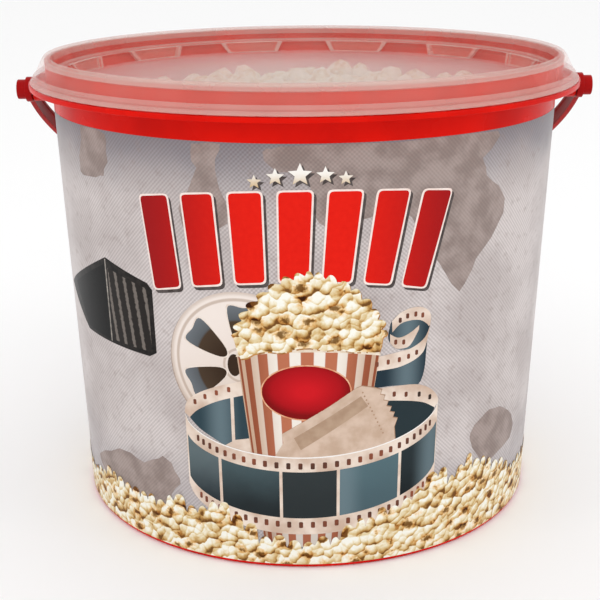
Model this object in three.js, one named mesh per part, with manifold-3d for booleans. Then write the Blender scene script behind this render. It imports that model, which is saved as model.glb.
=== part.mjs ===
// A lidded popcorn bucket: a tapered moulded pail with a stacking flange and two ear bosses,
// a press-on lid with a stacking recess, a strap bail hanging behind, and the popcorn inside.
// Millimetres, +Z up, the front of the pail faces -Y, and the bail's pivot line runs along X.
import * as THREE from "three";
import { mergeVertices } from "three/addons/utils/BufferGeometryUtils.js";
import Module from "manifold-3d";

const wasm = await Module();
wasm.setup();

// Fineness of the round pieces
const ROUND_STEPS = 64;
const BOSS_STEPS = 24;
const HOOP_STEPS = 44;

// Pail
const BASE_RADIUS = 97.3;
const TAPER = 0.0394;
const WALL = 1.5;
const FLOOR_TOP = 3.0;
const FOOT_WIDTH = 5.0;
const FOOT_HEIGHT = 1.4;
const FLANGE_RADIUS = 113.5;
const FLANGE_BOTTOM = 176.0;
const FLANGE_TOP = 177.9;
const RIM_INNER = 105.4;
const RIM_OUTER = 106.6;
const RIM_TOP = 187.0;

// Lid
const PANEL_TOP = 177.1;
const PANEL_BOTTOM = 175.9;
const LEDGE_RADIUS = 100.4;
const LEDGE_TOP = 181.7;
const LUG_COUNT = 12;
const LUG_TOP_ANGLE = 18.0;
const LUG_FOOT_ANGLE = 14.5;
const LUG_TOP_RADIUS = 99.7;
const LUG_FOOT_RADIUS = 97.0;

// Pivot line and its fittings
const PIVOT_HEIGHT = 172.5;
const BOSS_RADIUS = 4.9;
const BOSS_END = 113.9;
const PIN_RADIUS = 2.5;
const PIN_END = 119.5;
const BORE_RADIUS = 2.8;
const BORE_END = 119.8;
const HUB_RADIUS = 5.2;
const HUB_INNER_FACE = 114.2;
const HUB_STEP = 117.0;
const CAP_RADIUS = 4.1;
const CAP_END = 120.7;

// Bail: a half ellipse of strap that leans down behind the pail
const HOOP_HALF_WIDTH = 114.4;
const HOOP_DEPTH = 126.8;
const HOOP_LEAN = THREE.MathUtils.degToRad(35);
const STRAP_WIDTH = 7.0;
const STRAP_THICKNESS = 2.2;
const STRAP_RIB = 1.2;
const OUTER_GROOVE = 0.7;
const INNER_GROOVE = 0.3;

// Popcorn: filled to just under the lid, with an uneven top
const CONTENT_GAP = 0.3;
const CONTENT_TOP = 169.0;
const CONTENT_RINGS = 12;
const CONTENT_STEPS = 64;

const COLOURS = {
  pail: { color: 0xd4241a, roughness: 0.35, metalness: 0 },
  lid: { color: 0xe6dcd6, roughness: 0.4, metalness: 0 },
  bail: { color: 0xc81f1c, roughness: 0.4, metalness: 0 },
  popcorn: { color: 0xf0e2b8, roughness: 0.9, metalness: 0 },
};

// ---- geometry helpers -------------------------------------------------------------------

function positionsOnly(geometry) {
  const bare = new THREE.BufferGeometry();
  bare.setAttribute("position", geometry.getAttribute("position"));
  bare.setIndex(geometry.getIndex());
  return mergeVertices(bare, 1e-4);
}

function toManifold(geometry) {
  const merged = positionsOnly(geometry);
  const mesh = new wasm.Mesh({
    numProp: 3,
    vertProperties: new Float32Array(merged.getAttribute("position").array),
    triVerts: new Uint32Array(merged.getIndex().array),
  });
  mesh.merge();
  return new wasm.Manifold(mesh);
}

function fromManifold(solid) {
  const mesh = solid.getMesh();
  const geometry = new THREE.BufferGeometry();
  geometry.setAttribute("position", new THREE.BufferAttribute(mesh.vertProperties, 3));
  geometry.setIndex(new THREE.BufferAttribute(mesh.triVerts, 1));
  geometry.computeVertexNormals();
  return geometry;
}

function indexedGeometry(points, triangles) {
  const geometry = new THREE.BufferGeometry();
  geometry.setAttribute("position", new THREE.Float32BufferAttribute(points, 3));
  geometry.setIndex(triangles);
  return geometry;
}

// A closed body turned round Z from [radius, height] points that run up the outside
function turned(profile, steps = ROUND_STEPS) {
  const points = profile.map(([radius, height]) => new THREE.Vector2(radius, height));
  const geometry = new THREE.LatheGeometry(points, steps);
  geometry.rotateX(Math.PI / 2);
  return geometry;
}

// A round bar along X between two distances from the middle, on one side of the pail
function bar(radius, from, to, side) {
  const geometry = new THREE.CylinderGeometry(radius, radius, to - from, BOSS_STEPS);
  geometry.rotateZ(Math.PI / 2);
  geometry.translate((side * (from + to)) / 2, 0, PIVOT_HEIGHT);
  return geometry;
}

function wallRadius(height) {
  return BASE_RADIUS + TAPER * height;
}

// ---- pail -------------------------------------------------------------------------------

function pailProfile() {
  return [
    [0, FOOT_HEIGHT],
    [BASE_RADIUS - FOOT_WIDTH - 1.4, FOOT_HEIGHT],
    [BASE_RADIUS - FOOT_WIDTH, 0],
    [BASE_RADIUS - 0.6, 0],
    [wallRadius(0.8), 0.8],
    [wallRadius(FLANGE_BOTTOM - 0.6), FLANGE_BOTTOM - 0.6],
    [wallRadius(FLANGE_BOTTOM) + 0.6, FLANGE_BOTTOM],
    [FLANGE_RADIUS, FLANGE_BOTTOM],
    [FLANGE_RADIUS, FLANGE_TOP],
    [RIM_OUTER, FLANGE_TOP],
    [RIM_OUTER, RIM_TOP],
    [RIM_INNER, RIM_TOP],
    [RIM_INNER, FLANGE_TOP + 1.0],
    [wallRadius(FLANGE_BOTTOM) - WALL, FLANGE_BOTTOM - 0.8],
    [wallRadius(FLOOR_TOP + 2.5) - WALL, FLOOR_TOP + 2.5],
    [wallRadius(FLOOR_TOP) - WALL - 2.0, FLOOR_TOP],
    [0, FLOOR_TOP],
  ];
}

function makeBucket() {
  let solid = toManifold(turned(pailProfile()));
  for (const side of [-1, 1]) {
    const boss = toManifold(bar(BOSS_RADIUS, wallRadius(PIVOT_HEIGHT) - 0.9, BOSS_END, side));
    const pin = toManifold(bar(PIN_RADIUS, BOSS_END - 1, PIN_END, side));
    solid = solid.add(boss).add(pin);
  }
  return fromManifold(solid);
}

// ---- lid --------------------------------------------------------------------------------

function lidProfile() {
  return [
    [0, PANEL_BOTTOM],
    [99.6, PANEL_BOTTOM],
    [101.4, LEDGE_TOP - 1.3],
    [103.9, LEDGE_TOP - 0.9],
    [105.1, RIM_TOP + 0.3],
    [106.9, RIM_TOP + 0.3],
    [106.9, 185.0],
    [109.2, 180.9],
    [110.9, 179.1],
    [111.8, 178.2],
    [113.0, 178.2],
    [113.0, 178.7],
    [111.4, 179.6],
    [111.9, 180.5],
    [110.1, 181.9],
    [110.2, 182.7],
    [108.2, 186.4],
    [106.9, 188.4],
    [105.6, 188.6],
    [104.2, 188.2],
    [103.1, LEDGE_TOP + 0.6],
    [102.5, LEDGE_TOP],
    [LEDGE_RADIUS, LEDGE_TOP],
    [98.6, PANEL_TOP],
    [0, PANEL_TOP],
  ];
}

// One stacking lug: a block with a sloping inner face, narrower at its foot
function lugGeometry(middle) {
  const points = [];
  const triangles = [];
  const columns = 4;
  const levels = [
    [LUG_TOP_RADIUS, 101.5, LEDGE_TOP - 0.05, LUG_TOP_ANGLE],
    [LUG_FOOT_RADIUS, 99.4, PANEL_TOP - 0.4, LUG_FOOT_ANGLE],
  ];
  for (let i = 0; i <= columns; i += 1) {
    for (const [inner, outer, height, spread] of levels) {
      const angle = THREE.MathUtils.degToRad(middle + spread * (i / columns - 0.5));
      for (const radius of [inner, outer]) {
        points.push(radius * Math.cos(angle), radius * Math.sin(angle), height);
      }
    }
  }
  // corners of a column: 0 top inner, 1 top outer, 2 foot inner, 3 foot outer
  const quad = (a, b, c, d) => triangles.push(a, b, c, a, c, d);
  for (let i = 0; i < columns; i += 1) {
    const near = 4 * i;
    const far = near + 4;
    quad(near, near + 1, far + 1, far);
    quad(near + 2, far + 2, far + 3, near + 3);
    quad(near, far, far + 2, near + 2);
    quad(near + 1, near + 3, far + 3, far + 1);
  }
  const last = 4 * columns;
  quad(0, 2, 3, 1);
  quad(last, last + 1, last + 3, last + 2);
  return indexedGeometry(points, triangles);
}

function makeLid() {
  let solid = toManifold(turned(lidProfile()));
  const pitch = 360 / LUG_COUNT;
  for (let i = 0; i < LUG_COUNT; i += 1) {
    solid = solid.add(toManifold(lugGeometry(pitch * (i + 0.5))));
  }
  return fromManifold(solid);
}

// ---- bail -------------------------------------------------------------------------------

// Strap section as [outward, across]: ribs along both edges, shallow grooves between them
function strapSection() {
  const half = STRAP_WIDTH / 2;
  const web = half - STRAP_RIB;
  return [
    [0, -half],
    [STRAP_THICKNESS, -half],
    [STRAP_THICKNESS, -web],
    [STRAP_THICKNESS - OUTER_GROOVE, -web + 0.3],
    [STRAP_THICKNESS - OUTER_GROOVE, web - 0.3],
    [STRAP_THICKNESS, web],
    [STRAP_THICKNESS, half],
    [0, half],
    [0, web],
    [INNER_GROOVE, web - 0.3],
    [INNER_GROOVE, -web + 0.3],
    [0, -web],
  ];
}

function strapGeometry() {
  const section = strapSection();
  const along = new THREE.Vector3(0, Math.cos(HOOP_LEAN), -Math.sin(HOOP_LEAN));
  const across = new THREE.Vector3(0, Math.sin(HOOP_LEAN), Math.cos(HOOP_LEAN));
  const points = [];
  const triangles = [];
  for (let i = 0; i <= HOOP_STEPS; i += 1) {
    const t = (Math.PI * i) / HOOP_STEPS;
    const normal = new THREE.Vector2(HOOP_DEPTH * Math.cos(t), HOOP_HALF_WIDTH * Math.sin(t));
    normal.normalize();
    for (const [out, side] of section) {
      const x = HOOP_HALF_WIDTH * Math.cos(t) + out * normal.x;
      const reach = HOOP_DEPTH * Math.sin(t) + out * normal.y;
      const point = new THREE.Vector3(x, 0, PIVOT_HEIGHT);
      point.addScaledVector(along, reach);
      point.addScaledVector(across, side);
      points.push(point.x, point.y, point.z);
    }
  }
  const count = section.length;
  for (let i = 0; i < HOOP_STEPS; i += 1) {
    for (let j = 0; j < count; j += 1) {
      const a = i * count + j;
      const b = i * count + ((j + 1) % count);
      triangles.push(a, b + count, b, a, a + count, b + count);
    }
  }
  const outline = section.map(([out, side]) => new THREE.Vector2(out, side));
  const caps = THREE.ShapeUtils.triangulateShape(outline, []);
  const offset = HOOP_STEPS * count;
  for (const [a, b, c] of caps) {
    triangles.push(a, b, c, offset + a, offset + c, offset + b);
  }
  return indexedGeometry(points, triangles);
}

function makeHandle() {
  let solid = toManifold(strapGeometry());
  for (const side of [-1, 1]) {
    const hub = toManifold(bar(HUB_RADIUS, HUB_INNER_FACE, HUB_STEP, side));
    const cap = toManifold(bar(CAP_RADIUS, HUB_STEP - 0.5, CAP_END, side));
    solid = solid.add(hub).add(cap);
  }
  for (const side of [-1, 1]) {
    const bore = toManifold(bar(BORE_RADIUS, HUB_INNER_FACE - 3, BORE_END, side));
    solid = solid.subtract(bore);
  }
  return fromManifold(solid);
}

// ---- popcorn ----------------------------------------------------------------------------

// Lumps of several sizes, so that the top of the heap rises and falls like popped kernels
function lumps(x, y) {
  const broad = Math.sin(x / 17.3 + 0.8) * Math.cos(y / 19.1 - 0.4);
  const middle = Math.sin(x / 7.1 - y / 11.3) * Math.cos(y / 6.7 + x / 13.9);
  const fine = Math.sin(x / 3.9 + 1.7) * Math.sin(y / 4.3 - 0.6);
  return 1.6 * broad + 1.5 * middle + 0.9 * fine;
}

function makePopcorn() {
  const floor = FLOOR_TOP + CONTENT_GAP;
  const rimRadius = wallRadius(CONTENT_TOP) - WALL - CONTENT_GAP;
  const points = [0, 0, CONTENT_TOP + lumps(0, 0)];
  const triangles = [];
  const ring = (radius, height) => {
    for (let j = 0; j < CONTENT_STEPS; j += 1) {
      const angle = (2 * Math.PI * j) / CONTENT_STEPS;
      const x = radius * Math.cos(angle);
      const y = radius * Math.sin(angle);
      points.push(x, y, height === null ? CONTENT_TOP + lumps(x, y) : height);
    }
  };
  for (let i = 1; i <= CONTENT_RINGS; i += 1) {
    const shrink = i === CONTENT_RINGS ? 0.4 : 0;
    ring((rimRadius * i) / CONTENT_RINGS - shrink, null);
  }
  ring(wallRadius(150) - WALL - CONTENT_GAP, 150);
  ring(wallRadius(floor + 3) - WALL - CONTENT_GAP, floor + 3);
  ring(wallRadius(floor) - WALL - CONTENT_GAP - 2.6, floor);
  const rings = CONTENT_RINGS + 3;
  for (let j = 0; j < CONTENT_STEPS; j += 1) {
    const next = (j + 1) % CONTENT_STEPS;
    triangles.push(0, 1 + j, 1 + next);
    for (let i = 0; i < rings - 1; i += 1) {
      const inner = 1 + i * CONTENT_STEPS;
      const outer = inner + CONTENT_STEPS;
      triangles.push(inner + j, outer + j, outer + next);
      triangles.push(inner + j, outer + next, inner + next);
    }
  }
  const last = 1 + (rings - 1) * CONTENT_STEPS;
  const foot = points.length / 3;
  points.push(0, 0, floor);
  for (let j = 0; j < CONTENT_STEPS; j += 1) {
    const next = (j + 1) % CONTENT_STEPS;
    triangles.push(foot, last + next, last + j);
  }
  const geometry = indexedGeometry(points, triangles);
  geometry.computeVertexNormals();
  return geometry;
}

// ---- assembly ---------------------------------------------------------------------------

function piece(name, geometry, look) {
  const mesh = new THREE.Mesh(geometry, new THREE.MeshStandardMaterial(look));
  mesh.name = name;
  return mesh;
}

const part = new THREE.Group();
part.name = "lidded_popcorn_bucket";
part.add(piece("bucket", makeBucket(), COLOURS.pail));
part.add(piece("lid", makeLid(), COLOURS.lid));
part.add(piece("popcorn", makePopcorn(), COLOURS.popcorn));
part.add(piece("handle", makeHandle(), COLOURS.bail));

export default part;
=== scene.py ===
# %% [markdown]
# # A lidded bucket of popcorn
# A press-lid pail is a tall tapered tub with a printed wall, a flange, a lid that grips the rim
# and a strap bail that swings on two stub pins. Nearly everything on it is turned, so most of
# this lesson spins profiles. The print is a stack of very thin inked shapes wrapped round the
# wall, and the popcorn is a heap of little lobed meshes under a milky lid.
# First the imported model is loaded. It fixes where everything is; nothing here moves it.

# %% Load the frame
import math
import random

import bmesh
import bpy
from mathutils import Matrix, Vector, noise


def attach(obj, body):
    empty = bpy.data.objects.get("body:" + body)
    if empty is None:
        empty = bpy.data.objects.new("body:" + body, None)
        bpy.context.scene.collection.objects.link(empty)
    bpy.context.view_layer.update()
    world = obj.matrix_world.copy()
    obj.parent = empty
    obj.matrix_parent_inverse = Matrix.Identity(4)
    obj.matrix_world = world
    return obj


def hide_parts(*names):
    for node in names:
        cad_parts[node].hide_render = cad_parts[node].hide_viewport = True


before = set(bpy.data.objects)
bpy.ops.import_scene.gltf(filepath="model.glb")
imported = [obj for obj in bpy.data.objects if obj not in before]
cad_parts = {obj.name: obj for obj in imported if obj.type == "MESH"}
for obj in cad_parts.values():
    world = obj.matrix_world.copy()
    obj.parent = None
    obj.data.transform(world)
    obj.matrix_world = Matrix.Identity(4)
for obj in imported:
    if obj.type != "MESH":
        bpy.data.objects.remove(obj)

MM = 0.001
TURN = math.tau
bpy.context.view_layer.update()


def add_object(name, data):
    """A new object in the scene that shows this data."""
    made = bpy.data.objects.new(name, data)
    bpy.context.scene.collection.objects.link(made)
    return made



# %% [markdown]
# ## The camera
# The view is from a little above the lid, looking down on the front. A camera's matrix is three
# unit vectors and a place: right, up, and backwards along its line of sight. Building it from
# those three is easier to check than a chain of turns.

# %% Camera
CAMERA_PLACE = Vector((0.0, -0.52127, 0.24456))
CAMERA_PITCH = math.radians(17.70)
CAMERA_YAW = math.radians(-0.28)
CAMERA_ROLL = math.radians(-0.50)
CAMERA_LENS = 73.76


def place_camera():
    ahead = Vector((math.sin(CAMERA_YAW) * math.cos(CAMERA_PITCH),
                    math.cos(CAMERA_YAW) * math.cos(CAMERA_PITCH),
                    -math.sin(CAMERA_PITCH)))
    level = Vector((math.cos(CAMERA_YAW), -math.sin(CAMERA_YAW), 0.0))
    above = level.cross(ahead)
    right = level * math.cos(CAMERA_ROLL) + above * math.sin(CAMERA_ROLL)
    up = above * math.cos(CAMERA_ROLL) - level * math.sin(CAMERA_ROLL)
    data = bpy.data.cameras.new("camera")
    data.lens = CAMERA_LENS
    data.sensor_width = 36.0
    camera = add_object("camera", data)
    camera.matrix_world = Matrix((
        (right.x, up.x, -ahead.x, CAMERA_PLACE.x),
        (right.y, up.y, -ahead.y, CAMERA_PLACE.y),
        (right.z, up.z, -ahead.z, CAMERA_PLACE.z),
        (0.0, 0.0, 0.0, 1.0)))
    bpy.context.scene.camera = camera
    return camera


print("camera at", [round(c, 3) for c in place_camera().matrix_world.translation])

# %% [markdown]
# ## Arithmetic on shader sockets
# A pattern is a sum: a stripe is a sine of a distance, a ring is a difference of two radii.
# Wiring each plus and minus by hand hides the sum, so `Socket` wraps one output and lets Python
# write it. Every operator adds one Math node. Anything that isn't arithmetic goes through
# `Shader.node`, which takes a node's type, its settings and what is plugged into it.

# %% Socket and Shader


class Socket:
    """One output of a shader node that takes part in Python arithmetic."""

    def __init__(self, shader, output):
        self.shader, self.output = shader, output

    def __add__(self, other):
        return self.shader.math("ADD", self, other)

    def __sub__(self, other):
        return self.shader.math("SUBTRACT", self, other)

    def __mul__(self, other):
        return self.shader.math("MULTIPLY", self, other)

    def __truediv__(self, other):
        return self.shader.math("DIVIDE", self, other)

    def __abs__(self):
        return self.shader.math("ABSOLUTE", self)


class Shader:
    """A material under construction: its node tree and its one Principled surface."""

    def __init__(self, name, roughness=0.4, **fixed):
        self.material = bpy.data.materials.new(name)
        self.material.use_nodes = True
        self.tree = self.material.node_tree
        self.skin = self.tree.nodes["Principled BSDF"]
        self.skin.inputs["Roughness"].default_value = roughness
        for socket, value in fixed.items():
            self.skin.inputs[socket.replace("_", " ")].default_value = value

    def node(self, kind, settings=(), inputs=(), output=0):
        made = self.tree.nodes.new(kind)
        for name, value in dict(settings).items():
            if name == "stops":
                elements = made.color_ramp.elements
                elements.remove(elements[1])
                elements[0].position, elements[0].color = value[0]
                for place, colour in value[1:]:
                    elements.new(place).color = colour
            else:
                setattr(made, name, value)
        for key, value in dict(inputs).items():
            self.plug(made.inputs[key], value)
        return Socket(self, made.outputs[output])

    def plug(self, socket, value):
        if isinstance(value, Socket):
            self.tree.links.new(value.output, socket)
        else:
            socket.default_value = value

    def math(self, operation, *values):
        return self.node("ShaderNodeMath", {"operation": operation}, enumerate(values))

    def mix(self, factor, first, second, blend="MIX"):
        settings = {"data_type": "RGBA", "blend_type": blend}
        return self.node("ShaderNodeMix", settings, {0: factor, 6: first, 7: second}, output=2)

    def ramp(self, value, *stops):
        return self.node("ShaderNodeValToRGB", {"stops": stops}, {0: value})

    def step(self, value, low, high, start=0.0, end=1.0):
        """0 to 1 (or start to end) while value goes smoothly from low to high."""
        return self.node("ShaderNodeMapRange", {"interpolation_type": "SMOOTHSTEP"},
                         {0: value, 1: low, 2: high, 3: start, 4: end})

    def noise(self, where, scale, detail, output=0):
        return self.node("ShaderNodeTexNoise", (),
                         {"Vector": where, "Scale": scale, "Detail": detail}, output)

    def place(self):
        """Object coordinates, in metres."""
        return self.node("ShaderNodeTexCoord", (), (), output=3)

    def parts(self, vector):
        apart = self.node("ShaderNodeSeparateXYZ", (), {0: vector}).output.node
        return [Socket(self, output) for output in apart.outputs]

    def length(self, across, up):
        return self.math("SQRT", across * across + up * up)

    def bump(self, height, distance, strength):
        made = self.node("ShaderNodeBump", (), {
            "Height": height, "Distance": distance, "Strength": strength})
        self.plug(self.skin.inputs["Normal"], made)

    def wear(self, **sockets):
        for name, value in sockets.items():
            self.plug(self.skin.inputs[name.replace("_", " ")], value)
        return self.material


TONE_LEVEL = 0.86  # the studio light is a little brighter than one, so tones start darker


def tone(red, green, blue):
    """A screen colour from 0 to 255 as the linear light that a shader works in."""
    def linear(c):
        c /= 255
        return c / 12.92 if c <= 0.04045 else ((c + 0.055) / 1.055) ** 2.4
    return (*(linear(c) * TONE_LEVEL for c in (red, green, blue)), 1.0)


# %% [markdown]
# ## Moulded red plastic
# Injection-moulded polypropylene is glossy but never even: the gloss drifts over centimetres
# where the melt cooled at different rates, and a fine orange-peel runs over everything. Both
# are noise on Object coordinates, a broad one in colour and roughness, a fine one in the bump.

# %% Red plastic of the pail and the bail


def moulded(name, deep, bright, roughness=0.27):
    shader = Shader(name, IOR=1.22, Specular_IOR_Level=0.2)
    place = shader.place()
    drift = shader.noise(place, 38.0, 3.0)
    peel = shader.noise(place, 900.0, 2.0)
    colour = shader.mix(shader.step(drift, 0.3, 0.7), deep, bright)
    shader.bump(peel, 0.00004, 0.5)
    return shader.wear(Base_Color=colour, Roughness=drift * 0.12 + (roughness - 0.06))


pail_red = moulded("pail_red", tone(210, 16, 6), tone(232, 20, 6))
# The bail's red is the pail's red made darker: painted shade, for the strap that hangs behind the
# pail out of the light.
bail_shaded_red = moulded("bail_shaded_red", tone(168, 18, 18), tone(190, 22, 20), roughness=0.33)

# %% [markdown]
# ## Spinning profiles
# A turned shape is drawn as half a cross-section and spun round the axis. Moulded edges are
# never knife sharp, so `eased` first swaps each corner of the profile for a short arc. After the
# spin the doubled points at the axis are merged and the normals are recalculated. Edges that
# still turn sharply are marked, so that smooth shading stops there.

# %% Profile, spin and finish helpers
ROUND, SMALL_ROUND = 192, 48


def arc(start, corner, end, points=3):
    """A curve from start to end, drawn towards the corner between them."""
    return [tuple(start * (1 - t) ** 2 + corner * 2 * t * (1 - t) + end * t * t)
            for t in (k / points for k in range(points + 1))]


def eased(profile, radius, points=3, closed=False):
    """The profile with an arc of about this radius at each corner that is off the axis."""
    made = []
    count = len(profile)
    for i, corner in enumerate(profile):
        here = Vector(corner)
        ends = not closed and i in (0, count - 1)
        if ends or here.x < 1e-6:
            made.append(tuple(here))
            continue
        back = Vector(profile[i - 1]) - here
        on = Vector(profile[(i + 1) % count]) - here
        reach = min(radius, back.length * 0.45, on.length * 0.45)
        made += arc(here + back.normalized() * reach, here, here + on.normalized() * reach,
                    points)
    return made


def spun(profile, steps=ROUND):
    """A bmesh turned round Z from points [radius, height] in millimetres."""
    bm = bmesh.new()
    line = [bm.verts.new((r * MM, 0.0, z * MM)) for r, z in profile]
    for a, b in zip(line, line[1:]):
        bm.edges.new((a, b))
    bmesh.ops.spin(bm, geom=bm.verts[:] + bm.edges[:], cent=(0, 0, 0), axis=(0, 0, 1),
                   angle=TURN, steps=steps, use_merge=True)
    bmesh.ops.remove_doubles(bm, verts=bm.verts[:], dist=1e-7)
    bmesh.ops.recalc_face_normals(bm, faces=bm.faces[:])
    return bm


def take_in(bm, other):
    """Adds the other bmesh to this one and frees it."""
    carrier = bpy.data.meshes.new("carrier")
    other.to_mesh(carrier)
    bm.from_mesh(carrier)
    bpy.data.meshes.remove(carrier)
    other.free()
    return bm


def slice_up(bm, places, near):
    """Cuts the bmesh at each place along X, so that it can bend."""
    for x in places:
        bmesh.ops.bisect_plane(bm, geom=bm.verts[:] + bm.edges[:] + bm.faces[:], dist=near,
                               plane_co=(x, 0, 0), plane_no=(1, 0, 0))


def finished(bm, name, materials, body, sharp=35.0):
    """Writes the bmesh out as a smooth-shaded piece that rides on a body."""
    for face in bm.faces:
        face.smooth = True
    for edge in bm.edges:
        edge.smooth = len(edge.link_faces) == 2 and (
            edge.calc_face_angle(0.0) < math.radians(sharp))
    mesh = bpy.data.meshes.new(name)
    bm.to_mesh(mesh)
    bm.free()
    for material in materials:
        mesh.materials.append(material)
    piece = add_object(name, mesh)
    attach(piece, body)
    print(name, len(mesh.polygons), "faces")
    return piece


# %% [markdown]
# ## The pail
# One profile makes floor, foot ring, wall, flange and the rim that the lid grips. The two ear
# bosses and their stub pins are short turned bars laid along X, made from a cone operator each
# and bevelled, because a moulding tool leaves a small radius on every outside edge.

# %% Pail
BASE_RADIUS = 97.3
TAPER = 0.0394
WALL = 1.5
PIVOT_HEIGHT = 172.5
BOSS_RADIUS, BOSS_END = 4.9, 113.9
PIN_RADIUS, PIN_END = 2.5, 119.5


def wall(z):
    """Outside radius of the tapered wall at this height, in millimetres."""
    return BASE_RADIUS + TAPER * z


PAIL_PROFILE = [
    (0, 1.4), (90.9, 1.4), (92.3, 0), (96.7, 0), (wall(0.8), 0.8), (wall(175.4), 175.4),
    (wall(176) + 0.6, 176), (113.5, 176), (113.5, 177.9), (106.6, 177.9), (106.6, 187),
    (105.4, 187), (105.4, 178.9), (wall(176) - WALL, 175.2), (wall(5.5) - WALL, 5.5),
    (wall(3) - 3.5, 3), (0, 3)]


def bar(radius, start, end, side, bevel):
    """A round bar along X from start to end, with its ends bevelled."""
    bm = bmesh.new()
    bmesh.ops.create_cone(bm, cap_ends=True, segments=SMALL_ROUND, radius1=radius * MM,
                          radius2=radius * MM, depth=(end - start) * MM)
    rims = [e for e in bm.edges if e.calc_face_angle(0.0) > 1.0]
    bmesh.ops.bevel(bm, geom=rims, offset=bevel * MM, segments=3, profile=0.5,
                    affect="EDGES", material=-1)
    bmesh.ops.rotate(bm, verts=bm.verts[:], matrix=Matrix.Rotation(math.pi / 2, 3, "Y"))
    middle = side * (start + end) / 2 * MM
    bmesh.ops.translate(bm, verts=bm.verts[:], vec=(middle, 0, PIVOT_HEIGHT * MM))
    return bm


def make_pail():
    bm = spun(eased(PAIL_PROFILE, 0.35))
    for side in (-1, 1):
        take_in(bm, bar(BOSS_RADIUS, wall(PIVOT_HEIGHT) - 0.9, BOSS_END, side, 0.4))
        take_in(bm, bar(PIN_RADIUS, BOSS_END - 0.9, PIN_END, side, 0.5))
    return finished(bm, "pail_shell", [pail_red], "pail")


pail = make_pail()
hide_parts("bucket")

# %% [markdown]
# ## The bail
# The strap is a half ellipse that hangs behind the pail. Its section has a rib along each edge
# with shallow grooves between, which keeps a thin strap stiff. Spinning the section through half
# a turn gives a half circle with every face in place. Each point is then moved from the circle
# to the ellipse, by its own angle and distance, and leaned back to where the bail rests. Each
# end carries a stepped hub whose blind bore turns on the pin; a hub is itself a spun profile.

# %% Bail
HOOP_HALF_WIDTH, HOOP_DEPTH, HOOP_LEAN = 114.4, 126.8, math.radians(35)
STRAP_SECTION = [(0, -3.5), (2.2, -3.5), (2.2, -2.3), (1.5, -2.0), (1.5, 2.0), (2.2, 2.3),
                 (2.2, 3.5), (0, 3.5), (0, 2.3), (0.3, 2.0), (0.3, -2.0), (0, -2.3)]
HOOP_STEPS = 120
HUB_PROFILE = [(0, 119.8), (2.8, 119.8), (2.8, 114.2), (5.2, 114.2), (5.2, 117.0), (4.1, 117.0),
               (4.1, 120.7), (0, 120.7)]


def make_strap():
    bm = bmesh.new()
    ring = [bm.verts.new(((HOOP_HALF_WIDTH + out) * MM, 0, across * MM))
            for out, across in eased(STRAP_SECTION, 0.25, 2, closed=True)]
    edges = [bm.edges.new((a, b)) for a, b in zip(ring, ring[1:] + ring[:1])]
    bmesh.ops.spin(bm, geom=ring + edges, cent=(0, 0, 0), axis=(0, 0, 1), angle=math.pi,
                   steps=HOOP_STEPS)
    bmesh.ops.holes_fill(bm, edges=[e for e in bm.edges if e.is_boundary])
    lean = Matrix.Rotation(-HOOP_LEAN, 3, "X")
    for vert in bm.verts:
        turn, out = math.atan2(vert.co.y, vert.co.x), vert.co.xy.length / MM - HOOP_HALF_WIDTH
        outward = Vector((HOOP_DEPTH * math.cos(turn),
                          HOOP_HALF_WIDTH * math.sin(turn))).normalized()
        flat = Vector((HOOP_HALF_WIDTH * math.cos(turn) + out * outward.x,
                       HOOP_DEPTH * math.sin(turn) + out * outward.y, vert.co.z / MM))
        vert.co = (lean @ flat + Vector((0, 0, PIVOT_HEIGHT))) * MM
    bmesh.ops.recalc_face_normals(bm, faces=bm.faces[:])
    return bm


def make_hub(side):
    """Hub and cap as one spun profile with its blind bore, laid along X."""
    bm = spun(eased(HUB_PROFILE, 0.3), steps=SMALL_ROUND)
    bmesh.ops.rotate(bm, verts=bm.verts[:],
                     matrix=Matrix.Rotation(side * math.pi / 2, 3, "Y"))
    bmesh.ops.translate(bm, verts=bm.verts[:], vec=(0, 0, PIVOT_HEIGHT * MM))
    return bm


def make_bail():
    bm = make_strap()
    for side in (-1, 1):
        take_in(bm, make_hub(side))
    return finished(bm, "bail_strap", [bail_shaded_red], "bail")


bail = make_bail()
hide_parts("handle")

# %% [markdown]
# ## The popcorn
# Popped corn fills the pail to just under the lid. A smaller lumpy core fills the middle, and a
# crowded layer of kernels lies over it. A kernel bursts into a few rounded lobes, so each one is
# a small icosphere pushed out along five random directions. It has only 80 faces, which is
# enough for the eye and keeps hundreds of kernels light.

# %% Popcorn
CORE_TOP, CORE_INSET, LUMPS_FROM = 162.0, 4.5, 155.0
KERNEL_COUNT, KERNEL_TRIES = 230, 20000
KERNEL_REACH, KERNEL_LEVELS = 92.5, (162.5, 165.2)
KERNEL_SIZES, KERNEL_SPACING = (7.6, 9.2), 9.6


def popped():
    shader = Shader("popped_corn", roughness=0.75, Subsurface_Weight=0.05)
    place = shader.place()
    broad = shader.noise(place, 130.0, 2.0)
    fine = shader.noise(place, 520.0, 3.0)
    colour = shader.ramp(broad * 0.6 + fine * 0.4,
                         (0.34, tone(214, 160, 84)), (0.43, tone(240, 214, 158)),
                         (0.52, tone(250, 240, 212)), (0.7, tone(253, 249, 234)))
    shader.bump(fine, 0.0006, 0.7)
    return shader.wear(Base_Color=colour)


popped_corn = popped()


def make_core():
    """A turned plug with a lumpy top that stands in for the kernels nobody sees."""
    bm = spun([(0, 4), (wall(6) - CORE_INSET, 6), (wall(150) - CORE_INSET, 150), (90, 160),
               (60, CORE_TOP), (30, CORE_TOP), (0, CORE_TOP)], steps=64)
    top = [e for e in bm.edges if min(v.co.z for v in e.verts) > LUMPS_FROM * MM]
    bmesh.ops.subdivide_edges(bm, edges=top, cuts=2, use_grid_fill=True)
    for vert in bm.verts:
        if vert.co.z > LUMPS_FROM * MM:
            vert.co.z += 2.5 * MM * noise.noise(vert.co * 90)
    return finished(bm, "popcorn_core", [popped_corn], "pail", sharp=80)


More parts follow.
